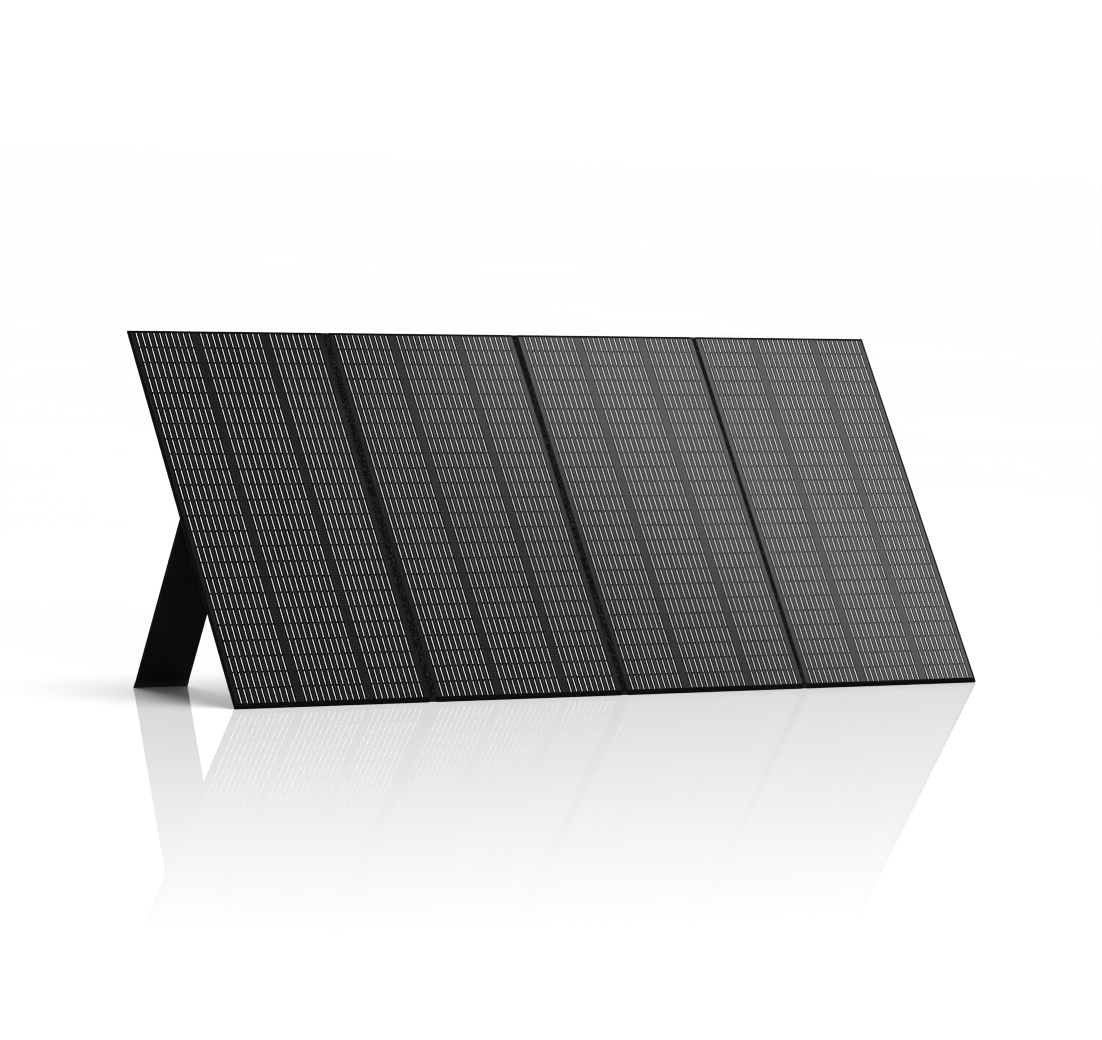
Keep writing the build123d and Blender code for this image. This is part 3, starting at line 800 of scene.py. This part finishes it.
def hinge_cloth(hinge):
    """One strip of speckled cloth from leaf to leaf, humped between two sewn edges."""
    left, right = f"hinge_strip_{hinge}_left", f"hinge_strip_{hinge}_right"
    x = (span(left)[0][0], span(right)[0][1])
    _, u, n = span(left)
    width = x[1] - x[0]
    sewn = HINGE_SEWN_SHARE * width

    def rise(px):
        t = (px - x[0]) / width
        return sin(pi * t) ** 0.7 * MM if 0 < t < 1 else 0.0

    def hump(px, pu):
        wrinkle = noise.noise(Vector((px * 160, pu * 34, hinge * 7.7)))
        return rise(px) * (0.75 + 0.3 * wrinkle)

    cloth = Shape()
    xs = [x[0] + width * i / 18 for i in range(19)]
    us = spread(u[0], u[1], 6 * MM, (0.6 * MM, 2 * MM))
    cloth.slab(xs, us, lambda px, pu: n[1] + hump(px, pu), lambda px, pu: n[0] - 0.6 * hump(px, pu))
    for px in (x[0] + sewn, x[1] - sewn):
        level = 0.8 * rise(px)
        cloth.seam(u, 2 * MM, px, n[1] + level, 1, 1)
        cloth.seam(u, 2 * MM, px, n[0] - 0.6 * level, -1, 1)
    obj = make(f"hinge_strip_{hinge}_cloth", cloth, [HINGE_CLOTH, THREAD])
    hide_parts(left, right)
    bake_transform(obj)


for number in LEAVES:
    solar_face(number)
    edge_tape(number)
    rear_cloth(number)
for number in HINGES:
    hinge_cloth(number)
paint_cad([f"leaf_{i}_backing_board" for i in LEAVES] + [f"leg_{i}_board" for i in LEAVES], BOARD)


# ---- Legs ----
def leg_cover(leg):
    """The sewn cover of a leg: a thin pillow over its board, with a stitched hem."""
    node = f"leg_{leg}_cover"
    place = LEG_PLACES[leg]
    x, u, n = span(node, place)
    middle, half = sum(n) / 2, (n[1] - n[0]) / 2
    radius = 1.5 * MM

    def swell(px, pu, side):
        wave = noise.noise(Vector((px * 22, pu * 16, leg * 4.3 + side)))
        hem = min(px - x[0], x[1] - px, pu - u[0], u[1] - pu)
        groove = 0.22 * MM * max(0.0, 1 - abs(hem - 6 * MM) / (1.6 * MM))
        return edge_round(px, pu, x, u, radius) * (half - groove + (0.06 * wave) * MM)

    cover = Shape()
    edge = (0.15 * MM, 0.5 * MM, MM, 1.5 * MM, 4.4 * MM, 5.2 * MM, 6 * MM, 6.8 * MM, 7.6 * MM)
    xs, us = spread(*x, 9 * MM, edge), spread(*u, 9 * MM, edge)
    cover.slab(xs, us, lambda px, pu: middle + swell(px, pu, 1), lambda px, pu: middle - swell(px, pu, 2))
    cover.stitches_round(x, u, 4 * MM, n[1], (0, 0, 1))
    cover.stitches_round(x, u, 4 * MM, n[0], (0, 0, -1))
    obj = make(f"leg_{leg}_cloth", cover, [OXFORD, THREAD], place)
    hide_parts(node)
    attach(obj, f"leg_{leg}")


def leg_tab(leg):
    """The cloth hinge of a leg: from the leaf's back, round the leg's top, to its rear face."""
    node = f"leg_{leg}_hinge_tab"
    x, u, n = span(node)
    joint = JOINTS[f"leg_{leg}_swing"]["pos_m"]
    pivot, closed = flat(joint), flat(joint, LEG_PLACES[leg])
    place = LEAN.inverted() @ LEG_PLACES[leg]
    leg_back = span(f"leg_{leg}_cover", LEG_PLACES[leg])[2][0] + 0.15 * MM
    leaf_level = n[1] - LEG_TAB_THICKNESS / 2 - 0.3 * MM
    sewn_top, sewn_low = Vector((0, u[1], leaf_level)), Vector((0, u[0] + 4 * MM, leaf_level))
    on_leg = [place @ Vector((0, closed.y - d, leg_back)) for d in (3 * MM, 28 * MM)]
    path = [sewn_top.lerp(sewn_low, i / 8) for i in range(9)]
    over = Vector((0, pivot.y + 2.5 * MM, leaf_level))
    under = place @ Vector((0, closed.y + 1.5 * MM, leg_back - 0.2 * MM))
    path += geometry.interpolate_bezier(sewn_low, over, under, on_leg[0], 11)[1:-1]
    path += [on_leg[0].lerp(on_leg[1], i / 8) for i in range(9)]
    tab = Shape()
    tab.loft(ribbon(path, x, LEG_TAB_THICKNESS, 0.3 * MM))
    skin = LEG_TAB_THICKNESS / 2
    for d in (3 * MM, 8 * MM):
        tab.seam(x, 3 * MM, u[1] - d, leaf_level - skin, -1)
    leg_out = (place.to_3x3() @ Vector((0, 0, -1))).normalized()
    for d in (20 * MM, 25 * MM):
        ends = [Vector((px, closed.y - d, leg_back)) for px in (x[0] + 3 * MM, x[1] - 3 * MM)]
        start, end = (place @ point + leg_out * skin for point in ends)
        tab.stitches(start, end, leg_out, 1, height=0.2 * MM)
    obj = make(f"leg_{leg}_tab", tab, [WEBBING, THREAD])
    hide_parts(node)
    centre = sum(x) / 2
    start = LEAN @ Vector((centre, sewn_low.y, leaf_level))
    end = LEAN @ Vector((centre, on_leg[0].y, on_leg[0].z))
    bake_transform(obj)


def leg_strap(leg):
    """The webbing strap that stops a leg, and the two patches that sew it down."""
    node = f"leg_{leg}_limit_strap"
    x, u, n = span(node)
    leaf_back = span(f"leaf_{leg}_rear_cover")[2][0]
    low = Vector((0, u[0], n[1] - 0.6 * MM))
    high = Vector((0, u[1], n[0] + 0.6 * MM))
    overlap = (high - low).normalized() * 1.3 * MM
    first, last = low - overlap, high + overlap
    strap = Shape()
    strap.loft(ribbon([first.lerp(last, i / 40) for i in range(41)], x, MM, 0.4 * MM))
    obj = make(f"leg_{leg}_strap", strap, [WEBBING])
    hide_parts(node)
    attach(obj, f"leaf_{leg}")
    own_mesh(obj)
    place = LEG_PLACES[leg]
    leg_front = span(f"leg_{leg}_cover", place)[2][1]
    meets = flat(LEAN @ last, place)
    on_leaf = ((first.y - PATCH_LENGTH, first.y + MM), leaf_back, -PATCH_THICKNESS)
    on_leg = ((meets.y - MM, meets.y + PATCH_LENGTH), leg_front, PATCH_THICKNESS)
    for body, patch_place, sewn in (("leaf", LEAN, on_leaf), ("leg", place, on_leg)):
        patch = Shape()
        sew_patch(patch, (x[0] - 1.5 * MM, x[1] + 1.5 * MM), *sewn)
        obj = make(f"leg_{leg}_strap_patch_on_{body}", patch, [WEBBING, THREAD], patch_place)
        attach(obj, f"{body}_{leg}")


def sew_patch(shape, x, u, level, thick):
    """Webbing sewn on a surface with a box and a cross; thick is negative on a back face."""
    skin = level + thick
    shape.bar(x, u, (min(level, skin), max(level, skin)), abs(thick) * 0.45, 0, pitch=4 * MM)
    out = (0, 0, 1 if thick > 0 else -1)
    inset, pitch = 3.5 * MM, 3.6 * MM
    shape.stitches_round(x, u, inset, skin, out, pitch)
    corners = inset_corners(x, u, inset)
    for i in (0, 1):
        shape.stitches((*corners[i], skin), (*corners[i + 2], skin), out, 1, pitch)


for number in LEAVES:
    leg_cover(number)
    leg_tab(number)
    leg_strap(number)
paint_cad([f"leg_{i}_foot" for i in LEAVES], RUBBER)


# ---- Handles ----
def handle(number):
    """A webbing carry handle: a loop with eyes on its anchors' pins, and a padded grip."""
    node = f"handle_{number}_strap"
    place = HANDLE_PLACES[number]
    x, u, _ = span(node, place)
    pivot = flat(JOINTS[f"handle_{number}_swing"]["pos_m"], place)
    thick, bend = 2.6 * MM, 26 * MM
    eye, hole = 4.4 * MM, 2.2 * MM
    left, right, low = x[0] + HANDLE_WIDTH / 2, x[1] - HANDLE_WIDTH / 2, u[0] + HANDLE_WIDTH / 2

    def corner(centre, begin):
        angles = [radians(begin + 90 * i / 8) for i in range(1, 9)]
        return [(centre + bend * cos(a), low + bend + bend * sin(a)) for a in angles]

    def lengthwise(count):
        return [(left + bend + (right - left - 2 * bend) * i / count, low) for i in range(count + 1)]

    def section(t):
        return rounded_rectangle((-HANDLE_WIDTH / 2, HANDLE_WIDTH / 2), (-thick / 2, thick / 2), 1.1 * MM)

    end = pivot.y - 1.5 * MM
    path = [(left, end), (left, low + bend), *corner(left + bend, 180), *lengthwise(6)[1:]]
    path += [*corner(right - bend, 270), (right, end)]
    strap = Shape()
    strap.loft(swept([Vector((a, b, pivot.z)) for a, b in path], section))
    for centre in (left, right):
        ends = (centre - HANDLE_WIDTH / 2, centre + HANDLE_WIDTH / 2)
        rings = []
        for px, r in ((ends[0], hole), (ends[0], eye), (ends[1], eye), (ends[1], hole)):
            rings.append([(px, pivot.y + r * cos(a), pivot.z + r * sin(a)) for a in circle(24)])
        strap.loft(rings, closed=True)
        for face in (1, -1):
            for d in (8 * MM, 12 * MM):
                strap.seam(ends, 3 * MM, pivot.y - d, pivot.z + face * thick / 2, face)
    obj = make(f"handle_{number}_webbing", strap, [WEBBING, THREAD], place)
    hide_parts(node)
    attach(obj, f"handle_{number}")
    grip_path = [Vector((a, b, pivot.z)) for a, b in lengthwise(48)]
    run = (grip_path[0].x, grip_path[-1].x)

    def grip_section(t):
        swell = 1 + 0.04 * sin(pi * t)
        ease = min(1.0, 6 * min(t, 1 - t) + 0.72)
        ring = []
        for a in circle(64):
            r = (cos(a) ** 4 + sin(a) ** 4) ** -0.25
            ring.append((14.2 * MM * ease * r * cos(a), 4.3 * MM * ease * swell * r * sin(a)))
        return ring

    grip = Shape()
    grip.loft(swept(grip_path, grip_section))
    seams = (low - 8 * MM, low + 8 * MM)

    def held(co):
        px, pu, _ = flat(co, place)
        return min(px - run[0], run[1] - px) < 2 * MM or any(abs(pu - line) < 1.2 * MM for line in seams)

    for face in (-1, 1):
        for line in seams:
            grip.seam(run, 6 * MM, line, pivot.z + face * 4.25 * MM, face)
    pad = make(f"handle_{number}_grip", grip, [BAG_CLOTH_PAINTED_LIT, THREAD], place)
    puffed(pad, held, 4.0, 0.06, 1.4 * MM, 16)
    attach(pad, f"handle_{number}")


def rivets(number):
    """The domed rivets that hold a handle's anchor plates to the leaf."""
    pu = span(f"handle_{number}_anchors")[1][1] - 6 * MM
    strap_x = span(f"handle_{number}_strap", HANDLE_PLACES[number])[0]
    skin = span(f"leaf_{number}_rear_cover")[2][0] - ANCHOR_PLATE
    profile = ((2.6, -0.3), (2.6, 0.1), (2.2, 0.7), (1.3, 1.1), (0.3, 1.25))
    heads = Shape()
    for centre in (strap_x[0] + HANDLE_WIDTH / 2, strap_x[1] - HANDLE_WIDTH / 2):
        for px in (centre - 11 * MM, centre + 11 * MM):
            rings = []
            for r, rise in profile:
                level = skin - rise * MM
                rings.append([(px + r * MM * cos(a), pu - r * MM * sin(a), level) for a in circle(20)])
            heads.loft(rings)
    obj = make(f"handle_{number}_rivets", heads, [RIVET_METAL])
    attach(obj, f"leaf_{number}")


for number in HANDLES:
    handle(number)
    rivets(number)
paint_cad([f"handle_{i}_anchors" for i in HANDLES], PLASTIC)


# ---- Cable pouch ----
def pouch():
    """The zipped cable pouch: a softly puckered bag with piping, zip tape and teeth."""
    x, u, n = span("cable_pouch")
    slider_x, slider_u, _ = span("zip_slider")
    depth = n[1] - n[0]
    hem_wide, hem_thick = 7 * MM, 3 * MM
    zip_line = sum(slider_u) / 2
    tape_half = 12 * MM
    tape_x = (slider_x[0] - 6 * MM, x[1] - (slider_x[0] - x[0]) + 6 * MM)
    top = n[0] - 0.05 * MM
    tape_back = top + 1.3 * MM

    def near_zip(px, pu, reach):
        """1 behind the zip's tape, falling to 0 at reach from it."""
        distance = max(tape_x[0] - px, px - tape_x[1], abs(pu - zip_line) - tape_half, 0.0)
        return max(0.0, 1 - distance / reach)

    def belly(px, pu):
        full = edge_round(px, pu, x, u, 30 * MM)
        wave = noise.noise(Vector((px * 23, pu * 19, 2.2)))
        slack = n[1] - hem_thick - (0.72 * depth - hem_thick) * full - 0.8 * MM * wave * full
        tent = near_zip(px, pu, 46 * MM) ** 1.5
        return slack * (1 - tent) + tape_back * tent

    def held(co):
        px, pu, pn = flat(co)
        rim = min(px - x[0], x[1] - px, pu - u[0], u[1] - pu)
        return pn > n[1] - MM or rim < 5.5 * MM or near_zip(px, pu, MM) == 1

    bag = Shape()
    edge = (0.3 * MM, 2.5 * MM, 5.5 * MM, 9 * MM)
    bag.slab(spread(*x, 4 * MM, edge), spread(*u, 4 * MM, edge), lambda px, pu: n[1], belly)
    obj = make("cable_pouch_bag", bag, [BAG_CLOTH_PAINTED_LIT])
    puffed(obj, held, 3.0, 0.05, 7 * MM, 20)
    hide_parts("cable_pouch")
    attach(obj, "leaf_1")
    hem = Shape()
    bars = [(x, (u[0], u[0] + hem_wide), 0), (x, (u[1] - hem_wide, u[1]), 0)]
    bars += [((x[0], x[0] + hem_wide), u, 1), ((x[1] - hem_wide, x[1]), u, 1)]
    for hem_x, hem_u, along in bars:
        hem.bar(hem_x, hem_u, (n[1] - hem_thick, n[1]), 1.3 * MM, along, wobble=0.2 * MM)
    hem.stitches_round(x, u, hem_wide / 2, n[1] - hem_thick, (0, 0, -1))
    border = make("cable_pouch_hem", hem, [TAPE, THREAD])
    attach(border, "leaf_1")
    zip_shape = Shape()
    for side in (-1, 1):
        a, b = sorted((zip_line + side * 1.6 * MM, zip_line + side * tape_half))
        zip_shape.bar(tape_x, (a, b), (top, top + 1.4 * MM), 0.5 * MM, 0)
        zip_shape.seam(tape_x, 2 * MM, zip_line + side * (tape_half - 2 * MM), top, -1)
    pitch = 2.4 * MM
    count = int((tape_x[1] - tape_x[0] - 10 * MM) / pitch)
    for i in range(count):
        px = tape_x[0] + 5 * MM + i * pitch
        side = 1 if i % 2 else -1
        a, b = sorted((zip_line - side * 0.9 * MM, zip_line + side * 2.4 * MM))
        zip_shape.bar((px, px + 1.3 * MM), (a, b), (top - 0.25 * MM, top + 1.2 * MM), 0.4 * MM, 0, 2)
    zip_obj = make("cable_pouch_zip", zip_shape, [TAPE, THREAD, ZIP_METAL])
    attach(zip_obj, "leaf_1")


pouch()
paint_cad(["zip_slider", "junction_box_screws"], DARK_METAL)
paint_cad(["junction_box_base", "junction_box_lid", "cable_gland", "junction_box_terminals"], PLASTIC)
paint_cad(["junction_box_gasket"], RUBBER)
soften(["junction_box_base", "junction_box_lid"], 0.9 * MM)
soften(["zip_slider", "junction_box_screws", "cable_gland"], 0.35 * MM)
soften([f"handle_{i}_anchors" for i in HANDLES], 0.35 * MM)


def lid_ribs():
    """The moulded frame and cooling ribs on the junction box's lid."""
    x, u, n = span("junction_box_lid")
    ribs = Shape()
    inset, wide, tall = 13 * MM, 2.2 * MM, 0.9 * MM
    a, b, c, d = x[0] + inset, x[1] - inset, u[0] + inset, u[1] - inset
    back = (n[0] - tall, n[0] + 0.3 * MM)
    for low, high in ((c, c + wide), (d - wide, d)):
        ribs.bar((a, b), (low, high), back, 0.7 * MM, 0)
    for low, high in ((a, a + wide), (b - wide, b)):
        ribs.bar((low, high), (c + wide, d - wide), back, 0.7 * MM, 1)
    count = 7
    for i in range(count):
        middle = c + (d - c) * (i + 1) / (count + 1)
        ribs.bar((a + 8 * MM, b - 8 * MM), (middle - 0.9 * MM, middle + 0.9 * MM), back, 0.7 * MM, 0)
    obj = make("junction_box_lid_ribs", ribs, [LID_PLASTIC])
    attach(obj, "leaf_2")


lid_ribs()


# ---- Stage, light and camera ----
def stage():
    """A wide pale floor."""
    reach = 60.0
    mesh = bpy.data.meshes.new("floor")
    corners = inset_corners((-reach, reach), (-reach, reach), 0)
    mesh.from_pydata([(*corner, 0) for corner in corners], [], [(0, 1, 2, 3)])
    mesh.materials.append(floor_material())
    floor = add_object("floor", mesh)


def softbox(name, place, aim, size, power):
    """A rectangular area light that looks at aim."""
    light = bpy.data.lights.new(name, "AREA")
    light.shape = "RECTANGLE"
    light.size, light.size_y = size
    light.energy = power
    obj = add_object(name, light)
    obj.location = place
    obj.rotation_euler = (Vector(aim) - Vector(place)).to_track_quat("-Z", "Y").to_euler()
    obj.visible_camera = False
    return obj


def broad_sun(name):
    """A very wide soft sun, nearly overhead."""
    light = bpy.data.lights.new(name, "SUN")
    light.energy = SUN_STRENGTH
    light.angle = radians(SUN_SPREAD)
    obj = add_object(name, light)
    obj.rotation_euler = Vector(SUN_FROM).to_track_quat("Z", "Y").to_euler()
    return obj


def shine_only_on(light, receivers):
    """Keeps a light for the given objects."""
    collection = bpy.data.collections.new(f"lit_by_{light.name}")
    for obj in receivers:
        collection.objects.link(obj)
    light.light_linking.receiver_collection = collection


def studio():
    """Soft light from the horizon, overhead and both sides, and a box that the face mirrors."""
    pieces = [obj for obj in bpy.context.scene.objects if obj.type == "MESH" and obj.name != "floor"]
    faces = [obj for obj in pieces if obj.name.endswith(("_film", "_cells", "_busbars"))]
    world = bpy.data.worlds.new("studio")
    bpy.context.scene.world = world
    world.use_nodes = True
    tree = world.node_tree
    direction = tree.nodes.new("ShaderNodeTexCoord")
    parts = tree.nodes.new("ShaderNodeSeparateXYZ")
    tree.links.new(direction.outputs["Generated"], parts.inputs[0])
    ramp = tree.nodes.new("ShaderNodeValToRGB")
    tree.links.new(parts.outputs["Z"], ramp.inputs["Fac"])
    low, high = ramp.color_ramp.elements
    low.position = 0.20
    low.color = (1.05, 1.05, 1.05, 1)
    high.position = 0.45
    high.color = (0.03, 0.03, 0.03, 1)
    tree.links.new(ramp.outputs["Color"], tree.nodes["Background"].inputs["Color"])
    overhead = broad_sun("overhead")
    overhead.visible_glossy = False
    highlights = broad_sun("overhead_highlights")
    highlights.visible_diffuse = False
    shine_only_on(highlights, pieces)
    sheen = softbox("right_sheen", (1.74, -0.41, 0.88), (1.51, -0.31, 0.57), (0.9, 2.9), 19.5)
    sheen.data.color = (0.96, 0.975, 1)
    sheen.visible_diffuse = False
    shine_only_on(sheen, faces)
    fill = softbox("front_fill", (-1.5, -8, 4.5), (0.2, 0, 0.4), (5, 5), 82)
    fill.visible_glossy = False
    rear = softbox("rear_fill", (2.4, 6.5, 3.6), (0, 0, 0.4), (3, 3), 260)
    shine_only_on(rear, pieces)


def camera():
    """A long lens from the left front, a little above the panel, very slightly rolled."""
    data = bpy.data.cameras.new("camera")
    data.sensor_width = 36.0
    data.lens = CAMERA_LENS
    data.clip_end = 200.0
    obj = add_object("camera", data)
    obj.location = CAMERA_PLACE
    obj.rotation_euler = [radians(turn) for turn in CAMERA_TURN]
    bpy.context.scene.camera = obj


stage()
studio()
camera()
bpy.context.scene.view_settings.view_transform = "Standard"
bpy.context.scene.cycles.filter_width = 1.0
